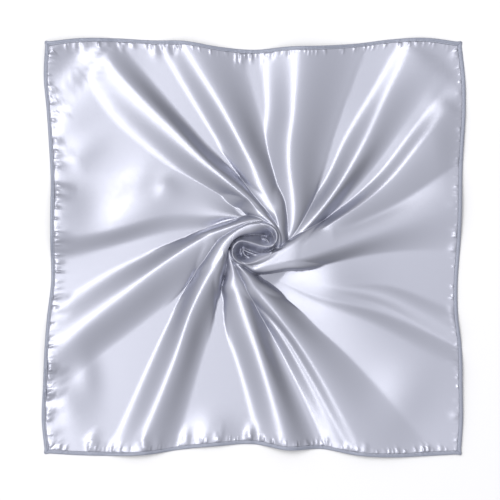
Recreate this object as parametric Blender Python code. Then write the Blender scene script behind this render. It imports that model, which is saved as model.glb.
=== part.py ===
"""A square satin scarf laid flat, its middle twisted into a swirl that every fold winds into.

Lengths are in millimetres until a mesh is made. The scarf lies on z = 0 with its middle over the
origin, +Y towards the hem that is at the top of the photo. The cloth is a height over the table:
folds that run in to the swirl, ridges drawn by hand where they wind round it, and soft swells.
"""
import math
from collections import namedtuple

import bmesh
import bpy
import numpy as np

MM = 0.001
CLOTH = 1.2                      # thickness of the cloth wall
HEM_WIDTH = 8.0                  # the turned hem, flat width
HEM_THICKNESS = 2.4              # two turns of cloth
SEAM_GAP = 0.3                   # between one piece and the next
SWIRL_RADIUS = 62.0              # the bunched middle, one solid
SWIRL_X, SWIRL_Y = -1.2, 7.2     # the swirl's centre from the middle of the scarf
TANGENT = 44.0                   # radius of the circle that the folds run in to touch

# One side of the scarf: its corners, and how far the edge bows out at even steps between them
Side = namedtuple("Side", "name start end bow")
NORTH_WEST, NORTH_EAST = (-436, 431), (436, 431)
SOUTH_WEST, SOUTH_EAST = (-438, -432), (435, -434)
SIDES = (
    Side("top", NORTH_WEST, NORTH_EAST, (0, 8, 8, 4, 2, -10, -16, -10, -8, -3, 6, 9, 0)),
    Side("right", NORTH_EAST, SOUTH_EAST, (0, 8, 9, 5, 2, 1, -2, -7, -6, 2, 3, 4, 0)),
    Side("bottom", SOUTH_EAST, SOUTH_WEST, (0, 4, 7, 3, -10, -8, -20, -16, -9, 2, 5, 4, 0)),
    Side("left", SOUTH_WEST, NORTH_WEST, (0, 7, 4, 1, -4, -12, -11, -11, -11, -7, -2, 4, 0)),
)
STATIONS = {"top": 34, "right": 34, "bottom": 34, "left": 34}

# A fold from the swirl to the hem. Each column has a value for every radius in READ_AT: the crest's
# unwound angle in degrees, its rise, and how many degrees its two feet lie clockwise and
# counterclockwise of it. far and near are its flanks' shapes, away from the swirl and beside it.
READ_AT = (60, 90, 180, 300, 420, 540)
Fold = namedtuple("Fold", "name crest rise cw ccw far near")
FOLDS = (
    Fold("east tube", (8, 8, 13, 15, 16, 16), (34, 35, 26, 16, 8, 3),
         (14, 14, 12, 10.5, 13, 16), (26, 26, 21, 22, 22, 22), (0.3, 0.2), (1, 2)),
    Fold("east tube edge", (34, 30, 29.5, 31.8, 37, 40), (2, 8, 22, 10.5, 7, 0),
         (60, 32, 15, 10.5, 13, 13), (6, 5.5, 5.5, 6.3, 5.5, 5), (0.7, 0), (0.7, 0.6)),
    Fold("north-east rib", (38, 38, 43.5, 49.2, 53.5, 56), (8, 16, 20, 17, 8.5, 3),
         (6, 5, 7.5, 8.5, 9, 9), (18, 20, 10, 9.3, 5.5, 3.5), (0, 0), (0.5, 0)),
    Fold("north rib", (42, 54, 78, 81, 82, 83), (8, 18, 24, 22, 18, 12),
         (12, 16, 23, 18, 17, 17), (26, 30, 18.5, 13, 13, 13), (0.15, 0), (0.5, 0.3)),
    Fold("north-west rib", (68, 92.5, 106, 111, 114, 115), (24, 26, 23, 20, 14, 8),
         (24, 22, 16, 14, 15, 15), (20, 17, 14, 10.5, 7.5, 6), (0, 0), (0.5, 0.6)),
    Fold("corner rib", (110, 123, 132.3, 133.5, 134, 133.5), (28, 28, 24, 21, 16, 3),
         (20, 16, 9, 6.5, 6, 5), (24, 20, 16.5, 14, 10.5, 5), (0, 0), (0.6, -0.5)),
    Fold("west swell", (160, 166, 173, 182.2, 184, 184), (10, 9, 8, 13, 10, 6),
         (20, 26, 36, 26, 20, 20), (22, 20, 14, 8, 7.5, 8), (0, 0), (0, 0)),
    Fold("west rib", (192, 197, 205.5, 210.5, 212.5, 213), (26, 27, 23, 20, 16, 5),
         (9, 9, 11, 12.5, 11, 11), (26, 24, 22, 14, 10, 10), (0, 0), (0.6, 0.4)),
    Fold("south-west rib", (240, 239, 240.5, 245, 246, 246), (36, 32, 25, 20, 15, 6),
         (20, 18, 11, 10, 9.5, 9), (16, 15, 16, 10.5, 9, 8), (0, 0), (0.6, 0.6)),
    Fold("south rib", (267, 276, 283.5, 285.5, 286, 286), (24, 24, 22, 21, 16, 9),
         (20, 19, 20, 14, 12, 11), (18, 15, 10, 8.5, 8, 8), (0, 0), (0.5, 0.6)),
    Fold("south-east terrace", (284, 290, 299.5, 300.5, 300, 299), (0, 8, 12, 9, 6, 3),
         (6, 6, 5, 4.5, 4.5, 5), (6, 6, 8, 8, 7, 7), (0.3, 0.3), (1, 1)),
    Fold("south-east rib", (293, 302, 306, 305.7, 304.2, 303.2), (32, 28, 23, 18, 13, 7),
         (16, 17, 9, 8, 7, 6), (14, 15, 14, 15, 15, 15), (0, 0), (0.6, 0.5)),
    Fold("lower east swell", (332, 332, 330.5, 334, 334, 334), (0, 0, 5, 10, 8, 6),
         (14, 14, 24, 30, 30, 30), (9, 9, 10, 10, 9, 8), (0, 0), (0, 0)),
    Fold("upper east swell", (345, 345, 344.5, 345.5, 342, 339), (0, 0, 5, 9, 7, 5),
         (9, 9, 10, 8, 7, 6), (8, 8, 9, 9, 8, 8), (0, 0), (0, 0)),
    Fold("east plateau", (352, 352, 350, 348, 346, 345), (0, 1, 8, 4, 2, 0),
         (22, 22, 24, 24, 26, 26), (8, 8, 26, 31, 33, 34), (0.4, 0), (1, 1)),
)
BLEND = 6.0                      # how crisply folds meet: higher is crisper
CORE_BASE = 9.0                  # the bunched cloth lifts even the valleys near the swirl
CUP_FLOOR = 4.0                  # the bottom of the swirl's two cups
LIP = 1.8                        # roundness of a ridge's top

# A ridge round the swirl is followed from its fold inwards, a row for each place on its crest, from
# the swirl's centre: rise, how far it reaches to the left and right of the way it runs, and how
# round it is, 0 for straight sides, 1 for a tube and 2 for a slab
Place = namedtuple("Place", "x y rise left right round")
Ridge = namedtuple("Ridge", "name start end rows")
RIDGES = (
    Ridge("corner rib end", "corner rib", None, (
        (10, 70, 30, 20, 20, 0.8), (25.5, 55, 32, 15, 14, 0.8), (38, 43.5, 33, 11, 8, 0.8),
        (48, 31.5, 33, 9, 7, 0.8), (54.5, 18, 30, 8, 6, 0.8), (55, 4, 26, 8, 6, 0.8),
        (51, -8, 20, 8, 6, 0.8))),
    Ridge("north-west rib end", "north-west rib", None, (
        (47.8, 62.4, 28, 28, 18, 0.8), (53.2, 43, 29, 22, 12, 0.8), (56.3, 26, 28, 18, 8, 0.8),
        (59, 12, 25, 16, 7, 0.8), (59, -2, 20, 14, 6, 0.8), (55, -12, 14, 12, 6, 0.8))),
    Ridge("west rib end", "west rib", None, (
        (-79.8, 23.1, 28, 14, 30, 0.8), (-58.8, 30.5, 30, 13, 26, 0.8), (-37.8, 38, 32, 12, 16, 0.8),
        (-16.8, 45, 33, 12, 10, 0.8), (4.2, 49, 32, 12, 9, 0.8), (21, 48, 30, 9, 8, 0.8),
        (32, 43, 26, 6, 8, 0.8))),
    Ridge("south rib end", "south rib", None, (
        (-38.9, -66, 26, 20, 18, 0.8), (-42, -50, 28, 14, 12, 0.8), (-46.2, -36, 29, 10, 9, 0.8),
        (-49, -24, 28, 7, 6, 0.8), (-50, -14, 25, 6, 5, 0.8))),
    Ridge("south-east rib end", "south-east rib", None, (
        (-5, -75, 31, 20, 18, 0.8), (-15, -62, 33, 14, 13, 0.8), (-25, -51, 34, 9, 8, 0.8),
        (-33, -43, 32, 8, 7, 0.8))),
    Ridge("pouch", "east tube", None, (
        (67, -37.5, 35, 17, 34, 2), (39, -43, 34.5, 16, 22, 2), (20, -47.5, 34, 14, 17, 1.8),
        (8, -50.5, 33, 11, 13, 1.4), (0, -50.5, 32, 9, 10, 1), (-8, -46.5, 33, 7, 8, 1),
        (-17, -41.5, 36, 6, 8, 1))),
    Ridge("S crest", None, "south-west rib", (
        (94, 2, 20, 20, 8, 1), (75, -7, 29, 20, 9, 1), (50, -19, 32, 20, 9, 1),
        (16.8, -32.6, 36, 26, 24, 0.6), (-4.2, -39.9, 38, 18, 24, 0.2),
        (-25.2, -39.9, 40, 10, 20, 0), (-39.9, -29.4, 41, 9, 20, 0),
        (-43.1, -14.7, 41, 9, 20, 0), (-37.8, -1.1, 41, 9, 20, 0), (-25.2, 6.3, 41, 14, 20, 0),
        (-6.3, 3.2, 40, 24, 20, 0), (14.7, -3.2, 39, 24, 20, 0), (31.5, -5.7, 39, 24, 14, 0),
        (44.1, -1.1, 39, 24, 8, 0), (50.4, 12.6, 39, 24, 7, 0), (47.3, 27.3, 39, 24, 8, 0),
        (35.7, 37.8, 39, 24, 8, 0.2), (18.9, 42, 39, 24, 9, 0.6), (-6.3, 37.8, 38, 24, 9, 1),
        (-27.3, 28.4, 37, 20, 10, 1), (-46, 12.6, 36, 15, 16, 1), (-60.9, -8.4, 35, 18, 24, 1))),
    Ridge("cup tongue", None, None, (
        (40, -16.8, 33, 5, 5, 0), (29.4, -21, 31, 5, 5, 0), (18.9, -23.1, 30, 5, 5, 0),
        (8.4, -23.1, 29, 5, 5, 0), (-2.1, -20, 29, 5, 5, 0), (-12.6, -15.8, 28, 5, 5, 0),
        (-20, -12, 28, 5, 5, 0), (-20.5, -17, 27, 5, 5, 0), (-15.7, -24, 27, 5, 5, 0),
        (-6.3, -29, 27, 5, 5, 0), (5, -31, 30, 5, 5, 0))),
    Ridge("cup lip", None, None, (
        (20, 12, 25, 4, 4, 0), (27, 10, 28, 4, 4, 0), (32, 5, 31, 4, 4, 0), (34, -3, 34, 4, 4, 0))),
)
HANDOVER = (190, 165, 140, 120, 104, 92)   # radii at which a ridge still is its fold

# A low mound in the cloth: its middle from the swirl's centre, the way its long axis heads in
# degrees, its reach along that axis and to the left and right of it, and its rise
Swell = namedtuple("Swell", "name x y heading long left right rise")
SWELLS = (
    Swell("pouch edge", 150, -100, 70, 30, 60, 60, 2),
    Swell("jog in the north rib", 40, 225, 95, 34, 20, 30, 2),
    Swell("corner lift", -418, 420, 45, 90, 40, 50, 14),
    Swell("corner's first crease", -350, 373, 50, 66, 26, 9, 5),
    Swell("corner's second crease", -334, 344, 46, 60, 20, 60, 3),
    Swell("corner upright", -300, 392, 85, 34, 18, 50, 1.6),
    Swell("corner's long crease", -392, 262, 74, 52, 14, 50, 2.2),
    Swell("west slope", -224, 112, 82, 40, 60, 120, 4.8),
    Swell("small dint high", -184, 120, 70, 22, 16, 30, 2.4),
    Swell("west curl", -370, 184, 125, 30, 20, 60, 3),
    Swell("west edge", -412, 70, 86, 70, 20, 70, 7),
    Swell("south-west corner", -396, -318, -62, 62, 40, 26, 5),
    Swell("south-west crest", -352, -268, -80, 52, 22, 26, 3.4),
    Swell("north-east crease", 372, 370, -40, 62, 20, 60, 5),
    Swell("north-east crease's neighbour", 406, 282, -35, 34, 14, 40, 3),
    Swell("east fall", 376, 205, 96, 70, 130, 46, 8),
    Swell("south-east corner", 309, -328, 60, 80, 60, 50, 4),
    Swell("south edge", -90, -404, 90, 40, 36, 46, 6),
)

# How finely the solids follow the form
PANEL_RINGS = 15
SWIRL_RINGS = 20


def ease(start, end, value):
    """0 below start, 1 above end, smooth between."""
    t = np.clip((value - start) / (end - start), 0, 1)
    return t * t * (3 - 2 * t)


def smooth_through(places, values, at):
    """A smooth curve through the values at those places, level beyond the last ones' slopes."""
    places = np.asarray(places, float)
    values = np.asarray(values, float)
    at = np.clip(at, places[0], places[-1])
    slopes = np.gradient(values, places)
    i = np.clip(np.searchsorted(places, at) - 1, 0, len(places) - 2)
    width = places[i + 1] - places[i]
    t = (at - places[i]) / width
    start = (2 * t**3 - 3 * t**2 + 1) * values[i] + (t**3 - 2 * t**2 + t) * width * slopes[i]
    end = (3 * t**2 - 2 * t**3) * values[i + 1] + (t**3 - t**2) * width * slopes[i + 1]
    return start + end


def at_radius(values, r):
    """A fold's column read at any radius, even in the radius's logarithm."""
    return smooth_through(np.log(READ_AT), values, np.log(np.maximum(r, 1)))


def along(values, share):
    """Values placed at even steps, read at a share of the way along."""
    return smooth_through(np.linspace(0, 1, len(values)), values, share)


def smooth_max(a, b, blend):
    mix = np.clip(0.5 + 0.5 * (a - b) / blend, 0, 1)
    return b + (a - b) * mix + blend * mix * (1 - mix)


def unwound(x, y):
    """The angle in degrees of the fold line through a point, were it straight, and the radius."""
    r = np.maximum(np.hypot(x, y), 1e-6)
    return np.degrees(np.arctan2(y, x) + np.arcsin(np.minimum(TANGENT / r, 1))), r


def wound(psi, r):
    """The point at a radius on the fold line of an unwound angle."""
    angle = np.radians(psi) - np.arcsin(np.minimum(TANGENT / r, 1))
    return r * np.cos(angle), r * np.sin(angle)


def flank(t, shape):
    """A side from crest (t = 0) to foot (t = 1): -1 is a pinch, 0 a bell, 1 a tube, 2 a slab."""
    t = np.clip(t, 0, 1)
    pinch = (1 - t) ** 2
    bell = 1 - t * t * (3 - 2 * t)
    tube = np.sqrt(1 - t * t)
    slab = (1 - 0.1 * t) * (1 - t**6) ** 0.3
    side = bell + np.clip(shape, 0, 1) * (tube - bell) + np.clip(-shape, 0, 1) * (pinch - bell)
    return side + np.clip(shape - 1, 0, 1) * (slab - tube)


def folds_height(x, y):
    psi, r = unwound(x, y)
    out = ease(80, 240, r)
    crisp = BLEND * (3 - 2 * ease(90, 210, r))
    total = np.maximum(CORE_BASE * (1 - ease(55, 100, r)), 1e-3) ** crisp
    for fold in FOLDS:
        away = (psi - at_radius(fold.crest, r) + 180) % 360 - 180
        cw_shape, ccw_shape = (near + out * (far - near) for near, far in zip(fold.near, fold.far))
        cw_side = flank(-away / at_radius(fold.cw, r), cw_shape)
        ccw_side = flank(away / at_radius(fold.ccw, r), ccw_shape)
        rise = at_radius(fold.rise, r) * ease(42, 66, r) * np.where(away < 0, cw_side, ccw_side)
        total = total + np.maximum(rise, 1e-3) ** crisp
    return total ** (1 / crisp)


def fold_places(name, outwards):
    """Rows for a ridge where it is still the fold of that name, from outside in unless outwards."""
    fold = next(fold for fold in FOLDS if fold.name == name)
    rows = []
    for r in HANDOVER:
        x, y = wound(at_radius(fold.crest, r), r)
        left, right = at_radius(fold.cw, r) * math.radians(r), at_radius(fold.ccw, r) * math.radians(r)
        if outwards:
            left, right = right, left
        rows.append(Place(x, y, at_radius(fold.rise, r), left, right, fold.near[1]))
    return rows[::-1] if outwards else rows


def whole_ridge(ridge):
    """A ridge's smooth line and its columns, read at even steps of its rows."""
    rows = [Place(*row) for row in ridge.rows]
    if ridge.start:
        rows = fold_places(ridge.start, False) + rows
    if ridge.end:
        rows = rows + fold_places(ridge.end, True)
    steps = np.linspace(0, len(rows) - 1, (len(rows) - 1) * 5 + 1)
    return [smooth_through(np.arange(len(rows)), column, steps) for column in zip(*rows)]


def nearest_on(line_x, line_y, x, y):
    """How far points lie from a line, positive to its left, and where along it, in its steps."""
    gap = np.full(x.shape, 1e9)
    side = np.ones(x.shape)
    where = np.zeros(x.shape)
    for k in range(len(line_x) - 1):
        dx, dy = line_x[k + 1] - line_x[k], line_y[k + 1] - line_y[k]
        share = np.clip(((x - line_x[k]) * dx + (y - line_y[k]) * dy) / (dx * dx + dy * dy), 0, 1)
        off_x, off_y = x - line_x[k] - share * dx, y - line_y[k] - share * dy
        far = np.hypot(off_x, off_y)
        nearer = far < gap
        gap = np.where(nearer, far, gap)
        side = np.where(nearer, np.where(dx * off_y - dy * off_x >= 0, 1.0, -1.0), side)
        where = np.where(nearer, k + share, where)
    return gap * side, where


def ridge_height(ridge, x, y):
    line_x, line_y, rise, left, right, round_ = whole_ridge(ridge)
    gap, where = nearest_on(line_x, line_y, x, y)
    steps = np.arange(len(line_x))
    rise, round_ = np.interp(where, steps, rise), np.interp(where, steps, round_)
    reach = np.where(gap > 0, np.interp(where, steps, left), np.interp(where, steps, right))
    t = (np.sqrt(gap**2 + LIP**2) - LIP) / reach
    straight = 1 - np.minimum(t, 1)
    side = np.where(round_ > 1, flank(t, round_), straight + round_ * (flank(t, 1) - straight))
    r = np.hypot(x, y)
    below = 30 * np.maximum(t - 1, 0) + 30 * ease(92, 205, r)
    base = CUP_FLOOR * (1 - ease(50, 80, r))
    return base + (rise - base) * side - below


def height(x, y):
    """The cloth's underside over the table, at points measured from the swirl's centre."""
    z = folds_height(x, y)
    r = np.hypot(x, y)
    near = r < 205
    inner = smooth_max(z[near], CUP_FLOOR * (1 - ease(45, 90, r[near])) - 2, 2.0)
    inner = np.where(r[near] > 110, z[near], inner)
    for ridge in RIDGES:
        inner = smooth_max(inner, ridge_height(ridge, x[near], y[near]), 1.2)
    z[near] = inner
    for swell in SWELLS:
        east, north = math.cos(math.radians(swell.heading)), math.sin(math.radians(swell.heading))
        along_it = (x - swell.x) * east + (y - swell.y) * north
        across = (y - swell.y) * east - (x - swell.x) * north
        reach = np.where(across > 0, swell.left, swell.right)
        z = z + swell.rise * np.exp(-(along_it / swell.long) ** 2 - (across / reach) ** 2)
    return z


def edge_line(side, inset, share):
    """Points of a side, moved in from the scarf's outer edge by inset, corner to corner."""
    start, end = np.array(side.start, float), np.array(side.end, float)
    length = np.hypot(*(end - start))
    ahead = (end - start) / length
    out = np.array([-ahead[1], ahead[0]])
    along_side = inset + share * (length - 2 * inset)
    return start + np.outer(along_side, ahead) + np.outer(along(side.bow, share) - inset, out)


def middle_of_outline():
    """The middle of the outline's box, which goes over the origin."""
    points = np.vstack([edge_line(side, 0, np.linspace(0, 1, 400)) for side in SIDES])
    return (points.max(0) + points.min(0)) / 2


def steepness(x, y):
    """The cloth's outward unit normal, from its height either side of each point."""
    d = 0.4
    slope_x = (height(x + d, y) - height(x - d, y)) / (2 * d)
    slope_y = (height(x, y + d) - height(x, y - d)) / (2 * d)
    length = np.sqrt(slope_x**2 + slope_y**2 + 1)
    return np.stack([-slope_x / length, -slope_y / length, 1 / length], -1)


def skin(plan):
    """Underside and top of the cloth wall over plan points measured from the middle of the scarf."""
    x, y = plan[..., 0] - SWIRL_X, plan[..., 1] - SWIRL_Y
    middle = np.stack([plan[..., 0], plan[..., 1], height(x, y) + CLOTH / 2], -1)
    offset = steepness(x, y) * (CLOTH / 2)
    # the wall's two rims stand upright, so that they face the next piece across an even gap
    for rim in (0, -1):
        offset[rim] = (0, 0, CLOTH / 2)
    return middle - offset, middle + offset


def column_angle(u, r):
    """Where columns, each named by its unwound angle at 300 mm, lie at radius r."""
    named = np.array([fold.crest[3] for fold in FOLDS])
    shift = np.array([float(at_radius(fold.crest, r)) for fold in FOLDS]) - named
    around = np.concatenate([named - 360, named, named + 360])
    return u + np.interp(u, around, np.concatenate([shift, shift, shift]))


def edge_columns():
    """For stations round the panel's edge: the column that each lies on, and the point itself."""
    inset = HEM_WIDTH + SEAM_GAP
    points = []
    for side in SIDES:
        share = np.linspace(0, 1, STATIONS[side.name] + 1)[:-1]
        points.extend(edge_line(side, inset, share))
    guesses = np.arange(-60.0, 420.0, 0.5)
    columns = []
    for point in points:
        psi, r = unwound(point[0] - SWIRL_X, point[1] - SWIRL_Y)
        columns.append(float(np.interp(psi % 360, column_angle(guesses, r), guesses)))
    return columns, points


def panel_plan():
    """Plan points of the panel, a row for each ring from the swirl out to the hem."""
    columns, points = edge_columns()
    first = SWIRL_RADIUS + SEAM_GAP / 2
    grid = np.zeros((PANEL_RINGS + 1, len(columns), 2))
    for k, (u, point) in enumerate(zip(columns, points)):
        far = math.hypot(point[0] - SWIRL_X, point[1] - SWIRL_Y)
        for j in range(PANEL_RINGS + 1):
            t = j / PANEL_RINGS
            r = first * (far / first) ** t
            x, y = wound(column_angle(u, r), r)
            grid[j, k] = (x + SWIRL_X, y + SWIRL_Y)
        grid[PANEL_RINGS, k] = point
    return grid


def add_object(name, vertices, faces, material, smooth=40):
    """One named solid from points in mm about the middle of the outline."""
    centre_x, centre_y = middle_of_outline()
    mesh = bpy.data.meshes.new(name)
    moved = [((v[0] - centre_x) * MM, (v[1] - centre_y) * MM, v[2] * MM) for v in vertices]
    mesh.from_pydata(moved, [], faces)
    builder = bmesh.new()
    builder.from_mesh(mesh)
    bmesh.ops.recalc_face_normals(builder, faces=builder.faces)
    builder.to_mesh(mesh)
    builder.free()
    mesh.shade_smooth()
    mesh.set_sharp_from_angle(angle=math.radians(smooth))
    mesh.materials.append(material)
    thing = bpy.data.objects.new(name, mesh)
    bpy.context.scene.collection.objects.link(thing)
    return thing


def satin(name, colour, roughness):
    material = bpy.data.materials.new(name)
    material.use_nodes = True
    shader = material.node_tree.nodes["Principled BSDF"]
    shader.inputs["Base Color"].default_value = (*colour, 1)
    shader.inputs["Roughness"].default_value = roughness
    shader.inputs["Metallic"].default_value = 0.0
    return material


def ring_faces(rows, columns, offset=0, flip=False):
    """Quads of a closed band of rows of points."""
    faces = []
    for j in range(rows - 1):
        for k in range(columns):
            a, b = j * columns + k, j * columns + (k + 1) % columns
            face = [offset + a, offset + b, offset + b + columns, offset + a + columns]
            faces.append(face[::-1] if flip else face)
    return faces


def panel():
    """The scarf's single square of satin, outside the swirl and inside the hem."""
    under, top = skin(panel_plan())
    rows, columns = under.shape[:2]
    count = rows * columns
    vertices = list(under.reshape(-1, 3)) + list(top.reshape(-1, 3))
    faces = ring_faces(rows, columns) + ring_faces(rows, columns, count, flip=True)
    for k in range(columns):
        n = (k + 1) % columns
        faces.append([k, k + count, n + count, n])
        last = (rows - 1) * columns
        faces.append([last + k, last + n, last + n + count, last + k + count])
    return add_object("panel", vertices, faces, satin("silver satin", (0.62, 0.64, 0.72), 0.35))


def centre_swirl():
    """The twisted middle: its hidden layers are one solid, with the S-shaped fold on top."""
    rim = panel_plan()[0][::2]
    inner = (SWIRL_RADIUS - SEAM_GAP / 2) / (SWIRL_RADIUS + SEAM_GAP / 2)
    columns = len(rim)
    centre = np.array([SWIRL_X, SWIRL_Y])
    rings = [centre + (rim - centre) * inner * (j / SWIRL_RINGS) for j in range(1, SWIRL_RINGS + 1)]
    vertices = [(*centre, 0), (*centre, float(height(np.zeros(1), np.zeros(1))[0]) + CLOTH)]
    for ring in rings:
        z = height(ring[:, 0] - SWIRL_X, ring[:, 1] - SWIRL_Y) + CLOTH
        vertices.extend(np.column_stack([ring, z]))
    foot = 2 + SWIRL_RINGS * columns
    vertices.extend(np.column_stack([rings[-1], np.zeros(columns)]))
    faces = ring_faces(SWIRL_RINGS, columns, 2)
    for k in range(columns):
        n = (k + 1) % columns
        last = foot - columns
        faces.append([1, 2 + k, 2 + n])
        faces.append([last + k, last + n, foot + n, foot + k])
        faces.append([0, foot + n, foot + k])
    return add_object("centre_swirl", vertices, faces, satin("shaded satin", (0.55, 0.57, 0.65), 0.35))


def hem(side):
    """A double-turned hem along one side, mitred to its neighbours at the corners."""
    share = np.linspace(0, 1, STATIONS[side.name] + 1)
    ends = np.array(side.end, float) - np.array(side.start, float)
    length = np.hypot(*ends)
    slide = np.where(share == 0, SEAM_GAP, np.where(share == 1, -SEAM_GAP, 0.0))[:, None] * ends / length
    # across the hem: how far in from the outer edge, and how high over the cloth's underside
    section = ((0.0, 0.8), (0.0, 1.6), (1.0, 2.4), (7.2, 2.4), (8.0, 1.6), (8.0, 0.0), (1.0, 0.0))
    lines = [edge_line(side, inset, share) + slide for inset, lift in section]
    middle = edge_line(side, HEM_WIDTH + SEAM_GAP, share)
    rest = height(middle[:, 0] - SWIRL_X, middle[:, 1] - SWIRL_Y)
    vertices = []
    for k in range(len(share)):
        for line, (inset, lift) in zip(lines, section):
            vertices.append((line[k][0], line[k][1], rest[k] + lift * HEM_THICKNESS / 2.4))
    n = len(section)
    faces = []
    for k in range(len(share) - 1):
        for i in range(n):
            a, b = k * n + i, k * n + (i + 1) % n
            faces.append([a, b, b + n, a + n])
    faces.append(list(range(n))[::-1])
    faces.append([len(vertices) - n + i for i in range(n)])
    return add_object("hem_" + side.name, vertices, faces, satin("hem satin", (0.5, 0.52, 0.6), 0.45))


def main():
    for thing in list(bpy.data.objects):
        bpy.data.objects.remove(thing)
    panel()
    centre_swirl()
    for side in SIDES:
        hem(side)


main()
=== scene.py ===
"""A square of silver-grey satin, laid flat on a pale table with its middle twisted into a swirl."""
import math
import random
from collections import namedtuple

import bpy
import numpy as np
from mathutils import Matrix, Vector


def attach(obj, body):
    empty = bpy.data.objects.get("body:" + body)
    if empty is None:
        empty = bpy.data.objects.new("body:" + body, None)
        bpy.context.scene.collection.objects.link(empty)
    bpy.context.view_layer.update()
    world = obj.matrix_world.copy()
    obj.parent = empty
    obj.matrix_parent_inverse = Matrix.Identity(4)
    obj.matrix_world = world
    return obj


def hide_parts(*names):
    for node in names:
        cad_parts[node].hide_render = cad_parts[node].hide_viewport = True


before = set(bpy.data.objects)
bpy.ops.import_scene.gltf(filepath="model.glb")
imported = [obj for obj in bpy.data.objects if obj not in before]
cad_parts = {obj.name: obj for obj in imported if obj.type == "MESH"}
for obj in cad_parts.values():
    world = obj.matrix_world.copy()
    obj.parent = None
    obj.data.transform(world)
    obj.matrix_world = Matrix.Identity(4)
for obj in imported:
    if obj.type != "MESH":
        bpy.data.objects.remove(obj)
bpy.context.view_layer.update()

# The laid scarf's outline. A 900 mm square of satin, cut on the grain, whose edges are drawn in and
# made wavy by the twist. Lengths here are in millimetres; a mesh is made in metres. A side's bow is
# how far it bulges outwards, at even steps from its start to its end.
MM = 0.001
HEM_WIDTH = 8.0
SEAM_GAP = 0.3                   # between the hem and the cloth's edge
SIDE_LENGTH = 872.0              # about the length of a drawn-in side, corner to corner
Side = namedtuple("Side", "name start end bow")
NORTH_WEST, NORTH_EAST = (-436, 431), (436, 431)
SOUTH_WEST, SOUTH_EAST = (-438, -432), (435, -434)
SIDES = (
    Side("top", NORTH_WEST, NORTH_EAST, (0, 8, 8, 4, 2, -10, -16, -10, -8, -3, 6, 9, 0)),
    Side("right", NORTH_EAST, SOUTH_EAST, (0, 8, 9, 5, 2, 1, -2, -7, -6, 2, 3, 4, 0)),
    Side("bottom", SOUTH_EAST, SOUTH_WEST, (0, 4, 7, 3, -10, -8, -20, -16, -9, 2, 5, 4, 0)),
    Side("left", SOUTH_WEST, NORTH_WEST, (0, 7, 4, 1, -4, -12, -11, -11, -11, -7, -2, 4, 0)),
)


def smooth_through(places, values, at):
    """A smooth curve through the values at those places."""
    places = np.asarray(places, float)
    values = np.asarray(values, float)
    at = np.clip(at, places[0], places[-1])
    slopes = np.gradient(values, places)
    i = np.clip(np.searchsorted(places, at) - 1, 0, len(places) - 2)
    width = places[i + 1] - places[i]
    t = (at - places[i]) / width
    start = (2 * t**3 - 3 * t**2 + 1) * values[i] + (t**3 - 2 * t**2 + t) * width * slopes[i]
    end = (3 * t**2 - 2 * t**3) * values[i + 1] + (t**3 - t**2) * width * slopes[i + 1]
    return start + end


def along(values, share):
    """Values placed at even steps, read at a share of the way along."""
    return smooth_through(np.linspace(0, 1, len(values)), values, share)


def edge_line(side, inset, share):
    """Points of a side, moved in from the scarf's outer edge by inset, corner to corner."""
    start, end = np.array(side.start, float), np.array(side.end, float)
    length = np.hypot(*(end - start))
    ahead = (end - start) / length
    out = np.array([-ahead[1], ahead[0]])
    along_side = inset + share * (length - 2 * inset)
    return start + np.outer(along_side, ahead) + np.outer(along(side.bow, share) - inset, out)


outline = np.vstack([edge_line(side, 0, np.linspace(0, 1, 400)) for side in SIDES])
MIDDLE = (outline.max(0) + outline.min(0)) / 2

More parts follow.
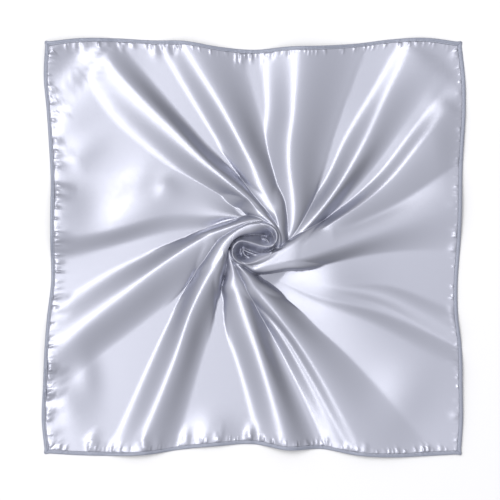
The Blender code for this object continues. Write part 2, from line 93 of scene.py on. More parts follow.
# The folds. Satin has no body of its own, so the twist gathers it into ribs that start round the
# swirl as tight tubes and open out towards the hem. Each column of the table has a value for every
# radius in READ_AT: the crest's unwound angle in degrees, its rise, and how many degrees its feet
# lie clockwise and counterclockwise of it. far and near are its flanks' shapes, see flank below.
SWIRL_X, SWIRL_Y = -1.2, 7.2     # the swirl's centre
SWIRL_RADIUS = 62.0
TANGENT = 44.0                   # radius of the circle that the folds run in to touch
READ_AT = (60, 90, 180, 300, 420, 540)
Fold = namedtuple("Fold", "name crest rise cw ccw far near")
FOLDS = (
    Fold("east tube", (8, 8, 13, 15, 16, 16), (34, 35, 26, 17, 11, 4),
         (14, 14, 12, 10.5, 13, 16), (26, 26, 21, 12.5, 12, 12), (0.3, 0.3), (1, 2)),
    Fold("east tube edge", (34, 30, 29.5, 31.8, 37, 40), (2, 8, 22, 13.5, 9.5, 2),
         (60, 32, 15, 11, 11.5, 12), (6, 5.5, 5.5, 6.3, 5.5, 5), (0.7, 0), (0.7, 0.6)),
    Fold("north-east rib", (38, 38, 43.5, 49.2, 53.5, 56), (8, 16, 20, 17, 8.5, 3),
         (6, 5, 7.5, 8.5, 9, 9), (18, 20, 10, 9.3, 5.5, 3.5), (0, 0), (1, 0.4)),
    Fold("north rib", (42, 54, 78, 81, 82, 83), (8, 18, 24, 22, 18, 12),
         (12, 16, 23, 18, 17, 17), (26, 30, 18.5, 13, 13, 13), (0.15, 0), (1, 0.8)),
    Fold("north-west rib", (68, 92.5, 106, 111, 114, 115), (24, 26, 23, 20, 14, 8),
         (24, 22, 16, 14, 15, 15), (20, 17, 14, 10.5, 7.5, 6), (0, 0), (1, 1.2)),
    Fold("corner rib", (110, 123, 132.3, 133.5, 134, 133.5), (28, 28, 24, 21, 16, 3),
         (20, 16, 9, 6.5, 6, 5), (24, 20, 16.5, 14, 10.5, 5), (0, 0), (1, -0.2)),
    Fold("west swell", (160, 166, 173, 182.2, 184, 184), (10, 9, 8, 13, 10, 6),
         (20, 26, 36, 26, 20, 20), (22, 20, 14, 8, 7.5, 8), (0, 0), (0, 0)),
    Fold("west rib", (192, 197, 205.5, 210.5, 212.5, 213), (26, 27, 23, 20, 16, 5),
         (9, 9, 11, 12.5, 11, 11), (26, 24, 22, 14, 10, 10), (0, 0), (1, 1)),
    Fold("south-west rib", (240, 239, 240.5, 245, 246, 246), (36, 32, 25, 20, 17, 10),
         (20, 18, 11, 10, 8, 6.5), (16, 15, 16, 10.5, 9, 8), (0, 0), (1, 1)),
    Fold("south rib", (267, 276, 283.5, 285.5, 286, 286), (24, 24, 22, 21, 17, 10),
         (20, 19, 18, 11.5, 9.5, 8.5), (18, 15, 10, 8.5, 8, 8), (0, 0), (1, 1)),
    Fold("south-east terrace", (284, 290, 299.5, 300.5, 300, 299), (0, 8, 12, 9, 6, 3),
         (6, 6, 5, 4.5, 4.5, 5), (6, 6, 8, 8, 7, 7), (0.3, 0.3), (1, 1)),
    Fold("south-east rib", (293, 302, 306, 305.7, 304.2, 303.2), (32, 28, 23, 18, 13, 7),
         (16, 17, 9, 8, 7, 6), (14, 15, 15, 17, 17, 17), (0, 0), (1, 0.8)),
    Fold("lower east swell", (332, 332, 331, 334, 333.5, 333), (0, 0, 6, 12, 10, 7),
         (14, 14, 18, 22, 23, 24), (9, 9, 10, 9, 8, 7), (0, 0), (0, 0)),
    Fold("upper east swell", (345, 345, 345.5, 347, 343.5, 340.5), (0, 0, 6, 9, 7, 5),
         (9, 9, 9, 7, 6, 5), (8, 8, 8, 8, 7, 7), (0, 0), (0, 0)),
    Fold("east plateau", (354, 354, 353, 351.5, 350, 349), (0, 1, 8, 4, 2, 0),
         (22, 22, 24, 24, 26, 26), (8, 8, 26, 31, 33, 34), (0.4, 0), (1, 1)),
)
BLEND = 6.0                      # how sharply folds meet away from the swirl, and thrice that in it
CORE_BASE = 9.0                  # height of the cloth bunched under the swirl


def ease(start, end, value):
    """0 below start, 1 above end, smooth between."""
    t = np.clip((value - start) / (end - start), 0, 1)
    return t * t * (3 - 2 * t)


def at_radius(values, r):
    """A fold's column read at any radius, even in the radius's logarithm."""
    return smooth_through(np.log(READ_AT), values, np.log(np.maximum(r, 1)))


def unwound(x, y):
    """The angle in degrees of the fold line through a point, were it straight, and the radius."""
    r = np.maximum(np.hypot(x, y), 1e-6)
    return np.degrees(np.arctan2(y, x) + np.arcsin(np.minimum(TANGENT / r, 1))), r


def wound(psi, r):
    """The point at a radius on the fold line of an unwound angle."""
    angle = np.radians(psi) - np.arcsin(np.minimum(TANGENT / r, 1))
    return np.stack([r * np.cos(angle), r * np.sin(angle)], -1)


def flank(t, shape):
    """A side from crest (t = 0) to foot (t = 1): -1 is a pinch, 0 a bell, 1 a tube, 2 a slab."""
    t = np.clip(t, 0, 1)
    pinch = (1 - t) ** 2
    bell = 1 - t * t * (3 - 2 * t)
    tube = np.sqrt(1 - t * t)
    slab = (1 - 0.1 * t) * (1 - t**6) ** 0.3
    side = bell + np.clip(shape, 0, 1) * (tube - bell) + np.clip(-shape, 0, 1) * (pinch - bell)
    return side + np.clip(shape - 1, 0, 1) * (slab - tube)


def folds_height(x, y):
    """Height of the folds alone, blended where they meet."""
    psi, r = unwound(x, y)
    out = ease(80, 240, r)
    crisp = BLEND * (3 - 2 * ease(90, 210, r))
    total = np.maximum(CORE_BASE * (1 - ease(55, 100, r)), 1e-3) ** crisp
    for fold in FOLDS:
        away = (psi - at_radius(fold.crest, r) + 180) % 360 - 180
        cw_shape = fold.near[0] + out * (fold.far[0] - fold.near[0])
        ccw_shape = fold.near[1] + out * (fold.far[1] - fold.near[1])
        cw_side = flank(-away / at_radius(fold.cw, r), cw_shape)
        ccw_side = flank(away / at_radius(fold.ccw, r), ccw_shape)
        rise = at_radius(fold.rise, r) * ease(42, 66, r) * np.where(away < 0, cw_side, ccw_side)
        total = total + np.maximum(rise, 1e-3) ** crisp
    return total ** (1 / crisp)


# The swirl. Where the ribs meet they wind on round each other, and the cloth left in the middle
# stands up as one S-shaped lip between two cups. Each ridge here is followed from its fold inwards,
# a row for each place on its crest, from the swirl's centre: rise, how far it reaches to the left
# and right of the way it runs, and how round it is: 0 for straight sides, 1 for a tube, 2 for a slab.
CUP_FLOOR = 4.0                  # height of the cloth at the bottom of the cups
LIP = 1.8                        # half the width of a lip's rounded edge
Place = namedtuple("Place", "x y rise left right round")
Ridge = namedtuple("Ridge", "name start end rows")
RIDGES = (
    Ridge("corner rib end", "corner rib", None, (
        (10, 70, 30, 20, 20, 0.8), (25.5, 55, 32, 15, 14, 0.8), (38, 43.5, 33, 11, 8, 0.8),
        (48, 31.5, 33, 9, 7, 0.8), (54.5, 18, 30, 8, 6, 0.8), (55, 4, 26, 8, 6, 0.8),
        (51, -8, 20, 8, 6, 0.8))),
    Ridge("north-west rib end", "north-west rib", None, (
        (47.8, 62.4, 28, 28, 18, 0.8), (53.2, 43, 29, 22, 12, 0.8), (56.3, 26, 28, 18, 8, 0.8),
        (59, 12, 25, 16, 7, 0.8), (59, -2, 20, 14, 6, 0.8), (55, -12, 14, 12, 6, 0.8))),
    Ridge("west rib end", "west rib", None, (
        (-79.8, 23.1, 28, 14, 30, 0.8), (-58.8, 30.5, 30, 13, 26, 0.8), (-37.8, 38, 32, 12, 16, 0.8),
        (-16.8, 45, 33, 12, 10, 0.8), (4.2, 49, 32, 12, 9, 0.8), (21, 48, 30, 9, 8, 0.8),
        (32, 43, 26, 6, 8, 0.8))),
    Ridge("south rib end", "south rib", None, (
        (-38.9, -66, 26, 20, 18, 0.8), (-42, -50, 28, 14, 12, 0.8), (-46.2, -36, 29, 10, 9, 0.8),
        (-49, -24, 28, 7, 6, 0.8), (-50, -14, 25, 6, 5, 0.8))),
    Ridge("south-east rib end", "south-east rib", None, (
        (-5, -75, 31, 20, 18, 0.8), (-15, -62, 33, 14, 13, 0.8), (-25, -51, 34, 9, 8, 0.8),
        (-33, -43, 32, 8, 7, 0.8))),
    Ridge("pouch", "east tube", None, (
        (67, -37.5, 35, 17, 34, 2), (39, -43, 34.5, 16, 22, 2), (20, -47.5, 34, 14, 17, 1.8),
        (8, -50.5, 33, 11, 13, 1.4), (0, -50.5, 32, 9, 10, 1), (-8, -46.5, 33, 7, 8, 1),
        (-17, -41.5, 36, 6, 8, 1))),
    Ridge("S crest", None, "south-west rib", (
        (94, 2, 20, 20, 8, 1), (75, -7, 29, 20, 9, 1), (50, -19, 32, 20, 9, 1),
        (16.8, -32.6, 36, 26, 24, 0.6), (-4.2, -39.9, 38, 18, 24, 0.2),
        (-25.2, -39.9, 40, 10, 20, 0), (-39.9, -29.4, 41, 9, 20, 0),
        (-43.1, -14.7, 41, 9, 20, 0), (-37.8, -1.1, 41, 9, 20, 0), (-25.2, 6.3, 41, 14, 20, 0),
        (-6.3, 3.2, 40, 24, 20, 0), (14.7, -3.2, 39, 24, 20, 0), (31.5, -5.7, 39, 24, 14, 0),
        (44.1, -1.1, 39, 24, 8, 0), (50.4, 12.6, 39, 24, 7, 0), (47.3, 27.3, 39, 24, 8, 0),
        (35.7, 37.8, 39, 24, 8, 0.2), (18.9, 42, 39, 24, 9, 0.6), (-6.3, 37.8, 38, 24, 9, 1),
        (-27.3, 28.4, 37, 20, 10, 1), (-46, 12.6, 36, 15, 16, 1), (-60.9, -8.4, 35, 18, 24, 1))),
    Ridge("cup tongue", None, None, (
        (40, -16.8, 33, 5, 5, 0), (29.4, -21, 31, 5, 5, 0), (18.9, -23.1, 30, 5, 5, 0),
        (8.4, -23.1, 29, 5, 5, 0), (-2.1, -20, 29, 5, 5, 0), (-12.6, -15.8, 28, 5, 5, 0),
        (-20, -12, 28, 5, 5, 0), (-20.5, -17, 27, 5, 5, 0), (-15.7, -24, 27, 5, 5, 0),
        (-6.3, -29, 27, 5, 5, 0), (5, -31, 30, 5, 5, 0))),
    Ridge("cup lip", None, None, (
        (20, 12, 25, 4, 4, 0), (27, 10, 28, 4, 4, 0), (32, 5, 31, 4, 4, 0), (34, -3, 34, 4, 4, 0))),
)

# Swells. Between the folds the cloth isn't flat: it lifts at the corners, sags, and has soft creases
# and dints. Each is one smooth rise: its middle, the way it runs in degrees counterclockwise from
# east, how far it reaches along that and to either side, and its rise.
Swell = namedtuple("Swell", "name x y heading long left right rise")
SWELLS = (
    Swell("pouch edge", 174, -98, 70, 42, 46, 60, 3.4),
    Swell("jog in the north rib", 40, 225, 95, 34, 20, 30, 2),
    Swell("corner lift", -418, 420, 45, 90, 40, 50, 14),
    Swell("corner's first crease", -350, 373, 50, 66, 26, 9, 5),
    Swell("corner's second crease", -334, 344, 46, 60, 20, 60, 3),
    Swell("corner upright", -300, 392, 85, 34, 18, 50, 1.6),
    Swell("corner's long crease", -392, 262, 74, 52, 14, 50, 2.2),
    Swell("west slope", -246, 104, 62, 62, 34, 110, 4.2),
    Swell("small dint high", -184, 120, 70, 22, 16, 30, 2.4),
    Swell("west curl", -370, 184, 125, 30, 20, 60, 3),
    Swell("west edge", -412, 70, 86, 64, 20, 58, 9.5),
    Swell("south-west corner", -396, -318, -62, 62, 40, 26, 5),
    Swell("south-west crest", -352, -268, -80, 52, 22, 26, 3.4),
    Swell("north-east crease", 372, 370, -40, 62, 20, 60, 5),
    Swell("north-east crease's neighbour", 406, 282, -35, 34, 14, 40, 3),
    Swell("east fall", 376, 205, 96, 70, 130, 46, 8),
    Swell("south-east corner", 309, -328, 60, 80, 60, 50, 4),
    Swell("south edge", -90, -404, 90, 40, 36, 46, 6),
)
HANDOVER = (190, 165, 140, 120, 104, 92)     # radii where a ridge still has its fold's form


def smooth_max(a, b, blend):
    """The larger of two heights, rounded where they are nearly the same."""
    mix = np.clip(0.5 + 0.5 * (a - b) / blend, 0, 1)
    return b + (a - b) * mix + blend * mix * (1 - mix)


def fold_places(name, outwards):
    """Rows for a ridge where it is still the fold of that name, from outside in unless outwards."""
    fold = next(fold for fold in FOLDS if fold.name == name)
    rows = []
    for r in HANDOVER:
        x, y = wound(at_radius(fold.crest, r), r)
        feet = [float(at_radius(degrees, r)) * math.radians(r) for degrees in (fold.cw, fold.ccw)]
        left, right = feet[::-1] if outwards else feet
        rows.append(Place(x, y, float(at_radius(fold.rise, r)), left, right, fold.near[1]))
    return rows[::-1] if outwards else rows


def whole_ridge(ridge):
    """A ridge's smooth line and its columns, read at even steps of its rows."""
    rows = [Place(*row) for row in ridge.rows]
    if ridge.start:
        rows = fold_places(ridge.start, False) + rows
    if ridge.end:
        rows = rows + fold_places(ridge.end, True)
    steps = np.linspace(0, len(rows) - 1, (len(rows) - 1) * 5 + 1)
    return [smooth_through(np.arange(len(rows)), column, steps) for column in zip(*rows)]


def nearest_on(line_x, line_y, x, y):
    """How far points lie from a line, positive to its left, and where along it, in its steps."""
    gap = np.full(x.shape, 1e9)
    side = np.ones(x.shape)
    where = np.zeros(x.shape)
    for k in range(len(line_x) - 1):
        dx, dy = line_x[k + 1] - line_x[k], line_y[k + 1] - line_y[k]
        share = np.clip(((x - line_x[k]) * dx + (y - line_y[k]) * dy) / (dx * dx + dy * dy), 0, 1)
        off_x, off_y = x - line_x[k] - share * dx, y - line_y[k] - share * dy
        far = np.hypot(off_x, off_y)
        nearer = far < gap
        gap = np.where(nearer, far, gap)
        side = np.where(nearer, np.where(dx * off_y - dy * off_x >= 0, 1.0, -1.0), side)
        where = np.where(nearer, k + share, where)
    return gap * side, where


def ridge_height(ridge, x, y):
    """Height of a ridge's crest and sides, sinking out of sight past its feet and far out."""
    line_x, line_y, rise, left, right, round_ = whole_ridge(ridge)
    gap, where = nearest_on(line_x, line_y, x, y)
    steps = np.arange(len(line_x))
    rise, round_ = np.interp(where, steps, rise), np.interp(where, steps, round_)
    reach = np.where(gap > 0, np.interp(where, steps, left), np.interp(where, steps, right))
    t = (np.sqrt(gap**2 + LIP**2) - LIP) / reach
    straight = 1 - np.minimum(t, 1)
    side = np.where(round_ > 1, flank(t, round_), straight + round_ * (flank(t, 1) - straight))
    r = np.hypot(x, y)
    below = 30 * np.maximum(t - 1, 0) + 30 * ease(92, 205, r)
    base = CUP_FLOOR * (1 - ease(50, 80, r))
    return base + (rise - base) * side - below


def height(x, y):
    """The cloth's underside over the table, at points measured from the swirl's centre."""
    z = folds_height(x, y)
    r = np.hypot(x, y)
    near = r < 205
    # inside 110 mm no hollow between the ribs goes deeper than just under the floor of the cups
    inner = smooth_max(z[near], CUP_FLOOR * (1 - ease(45, 90, r[near])) - 2, 2.0)
    inner = np.where(r[near] > 110, z[near], inner)
    for ridge in RIDGES:
        inner = smooth_max(inner, ridge_height(ridge, x[near], y[near]), 1.2)
    z[near] = inner
    for swell in SWELLS:
        east = math.cos(math.radians(swell.heading))
        north = math.sin(math.radians(swell.heading))
        along_it = (x - swell.x) * east + (y - swell.y) * north
        across = (y - swell.y) * east - (x - swell.x) * north
        reach = np.where(across > 0, swell.left, swell.right)
        z = z + swell.rise * np.exp(-(along_it / swell.long) ** 2 - (across / reach) ** 2)
    return z


# Puckers at the hem. A narrow machine hem pulls satin up into uneven gathers that run in from the
# stitching: fine ones all round, and broader ones where the hem is drawn in most. Each row is a
# stretch of a side, how many gathers it has, and their usual rise, width and length in from the seam.
Gather = namedtuple("Gather", "side start end count rise width length seed")
GATHERS = (
    Gather("top", 6, 866, 120, 0.9, 2.2, 13, 3),
    Gather("top", 10, 280, 18, 1.3, 6.5, 30, 13),
    Gather("top", 345, 480, 10, 1.5, 5.5, 32, 17),
    Gather("right", 6, 866, 120, 0.7, 2.2, 10, 5),
    Gather("right", 20, 850, 24, 1.0, 7.0, 24, 19),
    Gather("bottom", 6, 866, 130, 1.0, 2.4, 15, 7),
    Gather("bottom", 40, 430, 16, 1.2, 6.0, 26, 29),
    Gather("bottom", 430, 860, 26, 2.0, 7.5, 42, 23),
    Gather("left", 6, 866, 140, 1.2, 2.6, 18, 11),
    Gather("left", 10, 860, 46, 2.1, 7.5, 44, 31),
)
Pucker = namedtuple("Pucker", "place length width rise")
PUCKERS = {side.name: [] for side in SIDES}
for gather in GATHERS:
    chance = random.Random(gather.seed)
    for _ in range(gather.count):
        PUCKERS[gather.side].append(Pucker(
            chance.uniform(gather.start, gather.end), gather.length * chance.uniform(0.4, 1.4),
            gather.width * chance.uniform(0.6, 1.4), gather.rise * chance.uniform(-0.15, 1.3)))


def pucker_height(side, place, inset):
    """Rise of the gathers at a place along a side, that far in from the outer edge."""
    rise = np.zeros(place.shape)
    for pucker in PUCKERS[side.name]:
        across = np.exp(-((place - pucker.place) / pucker.width) ** 2)
        inwards = np.clip((inset - HEM_WIDTH) / pucker.length, 0, 1)
        rise += pucker.rise * across * (0.3 + 6 * inwards) * (1 - inwards) ** 2
    return rise


# The square of satin, one piece of cloth from hem to hem, folded and twisted but not cut. It stands
# for the solids of the folded panel and of the twisted middle.
CLOTH = 1.2                      # thickness of the solids' wall, whose top the satin follows
FINEST = 640                     # columns a side next to the hem, a gather's width apart
EDGE_INSETS = (40, 33, 27, 22, 18, 15, 12.5, 10.5, 9.2, 8.2)
RING_GAP = 1.2                   # between rings in the swirl
OUTER_RINGS = 76                 # from the swirl to the first of the edge insets
COARSER = ((6, 16), (13, 8), (26, 4), (45, 2))   # inside a radius, only each so many-th column
NAMED_AT = READ_AT.index(300)


def column_angle(u, r):
    """Where columns, each named by its unwound angle at 300 mm, lie at radius r."""
    named = np.array([fold.crest[NAMED_AT] for fold in FOLDS])
    shift = np.array([at_radius(fold.crest, r) - fold.crest[NAMED_AT] for fold in FOLDS])
    around = np.concatenate([named - 360, named, named + 360])
    after = np.clip(np.searchsorted(around, u), 1, len(around) - 1)
    mix = (u - around[after - 1]) / (around[after] - around[after - 1])
    each = np.arange(len(u))
    count = len(FOLDS)
    return u + shift[(after - 1) % count, each] * (1 - mix) + shift[after % count, each] * mix


def edge_ring(inset, step):
    """Points round the scarf at one inset, and the rise of the gathers there."""
    share = np.linspace(0, 1, FINEST + 1)[:-1][::step]
    plan = []
    rise = []
    for side in SIDES:
        plan.append(edge_line(side, inset, share))
        place = inset + share * (SIDE_LENGTH - 2 * inset)
        rise.append(pucker_height(side, place, np.full(place.shape, float(inset))))
    return np.vstack(plan), np.concatenate(rise)


def ring_columns(points):
    """The column that each point of the outer ring lies on, found by closing in on it."""
    psi, r = unwound(points[:, 0] - SWIRL_X, points[:, 1] - SWIRL_Y)
    columns = psi.copy()
    for _ in range(30):
        columns += 0.8 * (psi - column_angle(columns, r))
    return columns


def cloth_rings():
    """Rings of plan points and extra rise, from the swirl's centre out to the hem."""
    outer, _ = edge_ring(EDGE_INSETS[0], 4)
    columns = ring_columns(outer)
    far = np.hypot(*(outer - (SWIRL_X, SWIRL_Y)).T)
    rings = []
    # the middle has fewer points round each ring, so that they stay about a millimetre apart
    for r in np.arange(1.0, SWIRL_RADIUS, RING_GAP):
        step = next((step for radius, step in COARSER if r < radius), 1)
        chosen = columns[::step]
        plan = wound(column_angle(chosen, np.full(len(chosen), r)), r)
        rings.append((plan + (SWIRL_X, SWIRL_Y), np.zeros(len(chosen))))
    for j in range(OUTER_RINGS):
        r = SWIRL_RADIUS * (far / SWIRL_RADIUS) ** (j / OUTER_RINGS)
        plan = wound(column_angle(columns, r), r)
        rings.append((plan + (SWIRL_X, SWIRL_Y), np.zeros(len(columns))))
    for inset in EDGE_INSETS:
        step = 4 if inset > 30 else 2 if inset > 20 else 1
        rings.append(edge_ring(inset, step))
    return rings


def bridge(inner, outer, inner_start, outer_start):
    """Faces between two rings, where the outer has as many points as the inner or twice as many."""
    faces = []
    ratio = outer // inner
    for k in range(inner):
        a, b = inner_start + k, inner_start + (k + 1) % inner
        if ratio == 1:
            faces.append((a, outer_start + k, outer_start + (k + 1) % outer, b))
        else:
            c, d, e = (outer_start + (2 * k + i) % outer for i in range(3))
            faces.append((a, c, d))
            faces.append((a, d, b))
            faces.append((b, d, e))
    return faces


def make_object(name, vertices, faces, smooth=True):
    """A mesh object from points in millimetres about the middle of the scarf's box."""
    mesh = bpy.data.meshes.new(name)
    points = (np.asarray(vertices, float) - (MIDDLE[0], MIDDLE[1], 0)) * MM
    mesh.from_pydata(points.tolist(), [], faces)
    if smooth:
        mesh.shade_smooth()
    thing = bpy.data.objects.new(name, mesh)
    bpy.context.scene.collection.objects.link(thing)
    return thing


def satin_square():
    """The whole square in one mesh, its rings joined from the swirl's centre out to the hem."""
    rings = cloth_rings()
    plan = np.vstack([ring for ring, _ in rings])
    extra = np.concatenate([rise for _, rise in rings])
    x, y = plan[:, 0] - SWIRL_X, plan[:, 1] - SWIRL_Y
    z = np.maximum(height(x, y) + extra, 0) + CLOTH
    middle = float(height(np.zeros(1), np.zeros(1))[0]) + CLOTH
    vertices = np.vstack([[SWIRL_X, SWIRL_Y, middle], np.column_stack([plan, z])])
    counts = [len(ring) for ring, _ in rings]
    starts = np.concatenate([[1], 1 + np.cumsum(counts)]).astype(int)
    faces = [(0, 1 + k, 1 + (k + 1) % counts[0]) for k in range(counts[0])]
    for j in range(len(rings) - 1):
        faces.extend(bridge(counts[j], counts[j + 1], int(starts[j]), int(starts[j + 1])))
    return make_object("satin_square", vertices, faces)


square = satin_square()
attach(square, "root")
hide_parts("panel", "centre_swirl")


# Polyester satin. Each filament yarn floats over four or more others, so the face is nearly all
# smooth parallel yarn: it mirrors softly, brightest across the yarns, with deep grey between folds.
def linear(code):
    """An sRGB hex colour as the linear values that a shader takes."""
    shares = [int(code[i:i + 2], 16) / 255 for i in (1, 3, 5)]
    return [s / 12.92 if s <= 0.04045 else ((s + 0.055) / 1.055) ** 2.4 for s in shares] + [1.0]


def add_node(tree, kind, settings=(), **links):
    """A node with its settings, and what each named socket takes: a value or another's output."""
    node = tree.nodes.new(kind)
    for name, value in dict(settings).items():
        setattr(node, name, value)
    for name, source in links.items():
        socket = node.inputs[name.replace("_", " ")]
        if isinstance(source, bpy.types.NodeSocket):
            tree.links.new(source, socket)
        else:
            socket.default_value = source
    return node


YARN_SPACING = 1.29 * MM         # real yarns lie 0.12 mm apart, too fine to show at this size
BAND_AT_SCALE_ONE = math.tau / (10 * math.sqrt(2))    # a diagonal wave's bands, in metres
SLUB_LENGTH = 11.1 * MM          # thick places in the yarn, which scatter the light a little more


def satin_material(name, colour, roughness, metallic):
    """Satin of a colour: yarns as a fine bump, and slubs that make its roughness uneven."""
    material = bpy.data.materials.new(name)
    material.use_nodes = True
    tree = material.node_tree
    tree.nodes.clear()
    place = add_node(tree, "ShaderNodeTexCoord")
    weave = add_node(tree, "ShaderNodeTexWave", {"wave_type": "BANDS", "bands_direction": "DIAGONAL"},
                     Vector=place.outputs["Object"], Scale=BAND_AT_SCALE_ONE / YARN_SPACING,
                     Distortion=0.4)
    slub = add_node(tree, "ShaderNodeTexNoise", {}, Vector=place.outputs["Object"],
                    Scale=1 / SLUB_LENGTH)
    uneven = add_node(tree, "ShaderNodeMath", {"operation": "MULTIPLY_ADD"})
    tree.links.new(slub.outputs["Fac"], uneven.inputs[0])
    uneven.inputs[1].default_value = 0.08
    uneven.inputs[2].default_value = roughness - 0.04
    bump = add_node(tree, "ShaderNodeBump", {}, Height=weave.outputs["Fac"], Strength=0.08,
                    Distance=0.05 * MM)
    shader = add_node(tree, "ShaderNodeBsdfPrincipled", {}, Base_Color=linear(colour),
                      Metallic=metallic, Roughness=uneven.outputs[0], Normal=bump.outputs[0])
    output = add_node(tree, "ShaderNodeOutputMaterial")
    tree.links.new(shader.outputs[0], output.inputs["Surface"])
    return material


silver_satin = satin_material("woven polyester satin", "#AEB0BC", 0.33, 0.92)
square.data.materials.append(silver_satin)


# The hem: the raw edge turned twice and stitched down, so that it is thicker and duller than the
# cloth, with a groove where the stitches pull it in and a small tuck at each corner. Its colour is
# painted greyer than the cloth's, as painted shade along the rolled hem. SECTION goes round it: how
# far in from the outer edge, and how high over the cloth's underside.
SECTION = ((0.0, 0.9), (0.2, 1.7), (0.9, 2.3), (2.2, 2.6), (4.4, 2.7), (5.6, 2.4), (6.3, 1.7),
           (7.0, 2.2), (7.6, 2.0), (8.0, 1.4), (8.0, 0.0), (0.8, 0.0))
TUCK_BULGE = 1.8
TUCK_WIDTH = 3.5
TUCK_PLACE = 3.0                 # from the corner
# Pressed and doubled satin has lost much of its sheen, so the hem looks like a matt grey line; its
# darker colour than the cloth's is painted shade.
hem_satin_painted_shade = satin_material("turned satin hem", "#8B8F9D", 0.48, 0.45)


def tuck(place):
    """How far the hem bulges out near a side's ends, where its corner is folded under."""
    from_start = (place - TUCK_PLACE) / TUCK_WIDTH
    from_end = (SIDE_LENGTH - TUCK_PLACE - place) / TUCK_WIDTH
    return TUCK_BULGE * np.exp(-from_start**2) + TUCK_BULGE * np.exp(-from_end**2)


def hem_line(side, inset, share):
    """Plan points of a line along a hem, and there the height of its rest and of its gathers."""
    place = share * SIDE_LENGTH
    plan = edge_line(side, inset, share)
    outwards = edge_line(side, inset - 1, share) - plan
    plan = plan + outwards * (tuck(place) * (1 - inset / HEM_WIDTH))[:, None]
    seam = edge_line(side, HEM_WIDTH + SEAM_GAP, share)
    rest = height(seam[:, 0] - SWIRL_X, seam[:, 1] - SWIRL_Y)
    gathers = pucker_height(side, place, np.full(place.shape, HEM_WIDTH))
    return plan, rest, gathers * (0.6 + 0.4 * inset / HEM_WIDTH)


def hem(side):
    """A side's hem: its section carried along the side, with a face over each end."""
    share = np.linspace(0, 1, FINEST + 1)
    vertices = []
    for inset, lift in SECTION:
        plan, rest, gathers = hem_line(side, inset, share)
        z = np.maximum(rest + gathers, 0) + lift if lift else np.maximum(rest, 0)
        vertices.append(np.column_stack([plan, z]))
    n = len(SECTION)
    stations = len(share)
    faces = []
    for i in range(n):
        for k in range(stations - 1):
            a, b = i * stations + k, ((i + 1) % n) * stations + k
            faces.append((a, b, b + 1, a + 1))
    faces.append([i * stations for i in range(n)][::-1])
    faces.append([i * stations + stations - 1 for i in range(n)])
    piece = make_object("hem_fold_" + side.name, np.vstack(vertices), faces)
    piece.data.materials.append(hem_satin_painted_shade)
    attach(piece, "root")
    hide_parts("hem_" + side.name)
    return piece


hems = [hem(side) for side in SIDES]

# The stitching: one row of lockstitch in matching polyester thread, each stitch a short plump strand
# that dives through the hem at both ends.
STITCH_STEP = 3.2
STITCH_LENGTH = 2.5
STITCH_INSET = 6.4
STITCH_HEIGHT = 1.75             # the hem's top in its groove
FIRST_STITCH = 6.0               # from the corner
DIPS = (-0.4, 0.1, 0.25, 0.1, -0.4)
THREAD = 0.36                    # radius
THREAD_SIDES = 6
# Round, smooth thread catches light that the hem doesn't, and its colour is painted paler than the
# satin's as a painted highlight, so the row looks like fine pale dashes.
thread_painted_highlight = bpy.data.materials.new("twisted polyester thread")
thread_painted_highlight.use_nodes = True
thread_shader = thread_painted_highlight.node_tree.nodes["Principled BSDF"]
thread_shader.inputs["Base Color"].default_value = linear("#C6C9D4")
thread_shader.inputs["Roughness"].default_value = 0.45


def stitching(side):
    """A side's stitches in one mesh: each has three six-sided rings and pointed ends."""
    count = int((SIDE_LENGTH - 2 * FIRST_STITCH) / STITCH_STEP)
    starts = (FIRST_STITCH + STITCH_STEP * np.arange(count)) / SIDE_LENGTH
    stitch = np.linspace(0, STITCH_LENGTH / SIDE_LENGTH, len(DIPS))
    stations = (starts[:, None] + stitch).ravel()
    plan, rest, gathers = hem_line(side, STITCH_INSET, stations)
    beside, _, _ = hem_line(side, STITCH_INSET + 1, stations)
    across = beside - plan
    z = np.maximum(rest + gathers, 0) + STITCH_HEIGHT + np.tile(DIPS, count)
    vertices = []
    faces = []
    for s in range(count):
        tip = len(vertices)
        for j in range(len(DIPS)):
            k = len(DIPS) * s + j
            if j in (0, len(DIPS) - 1):
                vertices.append((*plan[k], z[k]))
                continue
            for i in range(THREAD_SIDES):
                angle = i * math.tau / THREAD_SIDES
                sideways = across[k] * THREAD * math.cos(angle)
                vertices.append((*(plan[k] + sideways), z[k] + THREAD * math.sin(angle)))
        tail = len(vertices) - 1
        first, second, third = (tip + 1 + THREAD_SIDES * ring for ring in range(3))
        for i in range(THREAD_SIDES):
            n = (i + 1) % THREAD_SIDES
            faces.append((tip, first + n, first + i))
            faces.append((tail, third + i, third + n))
            faces.append((first + i, first + n, second + n, second + i))
            faces.append((second + i, second + n, third + n, third + i))
    thread = make_object("stitches_" + side.name, vertices, faces)
    thread.data.materials.append(thread_painted_highlight)
    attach(thread, "root")
    return thread


threads = [stitching(side) for side in SIDES]


# The table it is laid on, a matt white board under the whole studio.
def flat_plane(name, size):
    """A level square about the scarf's middle."""
    half = size / 2
    return make_object(name, [(-half, -half, 0), (half, -half, 0), (half, half, 0), (-half, half, 0)],
                       [(0, 1, 2, 3)], smooth=False)


floor = flat_plane("floor", 12000)
# Lit as brightly as here, white board shows pure white, with a soft grey shadow beside the scarf.
floor_material = bpy.data.materials.new("matt white board")
floor_material.use_nodes = True
floor_shader = floor_material.node_tree.nodes["Principled BSDF"]
floor_shader.inputs["Base Color"].default_value = linear("#DCDCDD")
floor_shader.inputs["Roughness"].default_value = 0.9
floor.data.materials.append(floor_material)


# The light: one long softbox over the scarf and to its left, a little warmer than the ceiling, and
# light from the ceiling that fills the shadows without showing in the satin.
def softbox(name, place, wide, high, power):
    """A softbox at that place, facing the scarf, its wide side level."""
    data = bpy.data.lights.new(name, "AREA")
    data.shape = "RECTANGLE"
    data.size = wide
    data.size_y = high
    data.energy = power
    lamp = bpy.data.objects.new(name, data)
    lamp.location = place
    lamp.rotation_euler = (-Vector(place)).to_track_quat("-Z", "Y").to_euler()
    bpy.context.scene.collection.objects.link(lamp)
    return lamp


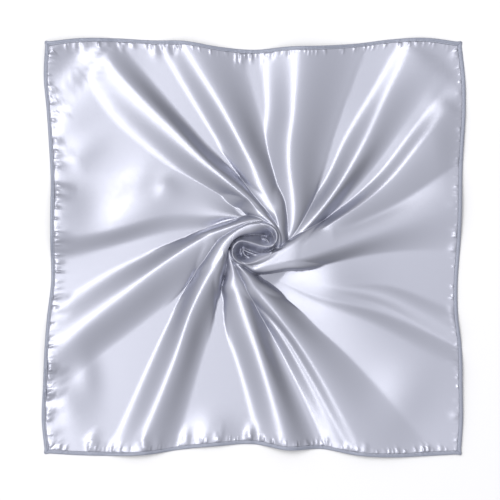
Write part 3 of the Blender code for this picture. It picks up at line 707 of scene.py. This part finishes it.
key = softbox("key softbox", (-2.6, 0.5, 8.0), 8.0, 2.5, 176)
key.data.color = (1.0, 0.985, 0.95)
fill = softbox("ceiling fill", (-1.0, 1.5, 3.8), 2.6, 2.6, 78)
fill.visible_glossy = False

# The studio round it: a white ceiling, palest where the softbox lights it, and walls that darken
# downwards. Steep flanks mirror the walls, which is why they look grey.
world = bpy.data.worlds.new("studio")
bpy.context.scene.world = world
world.use_nodes = True
tree = world.node_tree
tree.nodes.clear()
direction = add_node(tree, "ShaderNodeTexCoord")
lit_pole = math.radians(18)
towards = add_node(tree, "ShaderNodeVectorMath", {"operation": "DOT_PRODUCT"})
tree.links.new(direction.outputs["Generated"], towards.inputs[0])
towards.inputs[1].default_value = (-math.sin(lit_pole), 0, math.cos(lit_pole))
paleness = add_node(tree, "ShaderNodeValToRGB", {}, Fac=towards.outputs["Value"])
SKY = ((0.0, 0.15), (0.25, 0.26), (0.5, 0.36), (0.8, 0.43), (0.92, 0.52), (1.0, 0.66))
for _ in SKY[2:]:
    paleness.color_ramp.elements.new(0.5)
for element, (position, grey) in zip(paleness.color_ramp.elements, SKY):
    element.position = position
    element.color = (grey, grey, grey * 1.03, 1)
background = add_node(tree, "ShaderNodeBackground", {}, Color=paleness.outputs[0], Strength=2.2)
output = add_node(tree, "ShaderNodeOutputWorld")
tree.links.new(background.outputs[0], output.inputs["Surface"])

# Plain colours, without a film look, as in a catalogue picture.
bpy.context.scene.view_settings.view_transform = "Standard"
bpy.context.scene.view_settings.look = "None"

# The camera looks straight down; a picture 500 pixels wide takes in 1050 mm of the table.
PIXEL = 2.1 * MM
SCARF_AT = (253.55, 247.45)      # the pixel where the scarf's middle lies, from the top left
CAMERA_HEIGHT = 6.0
camera_data = bpy.data.cameras.new("overhead")
camera_data.sensor_width = 36
camera_data.lens = 36 * CAMERA_HEIGHT / (500 * PIXEL)
camera = bpy.data.objects.new("overhead", camera_data)
picture_x, picture_y = (250 - SCARF_AT[0]) * PIXEL, (SCARF_AT[1] - 250) * PIXEL
camera.location = (picture_x - MIDDLE[0] * MM, picture_y - MIDDLE[1] * MM, CAMERA_HEIGHT)
bpy.context.scene.collection.objects.link(camera)
bpy.context.scene.camera = camera
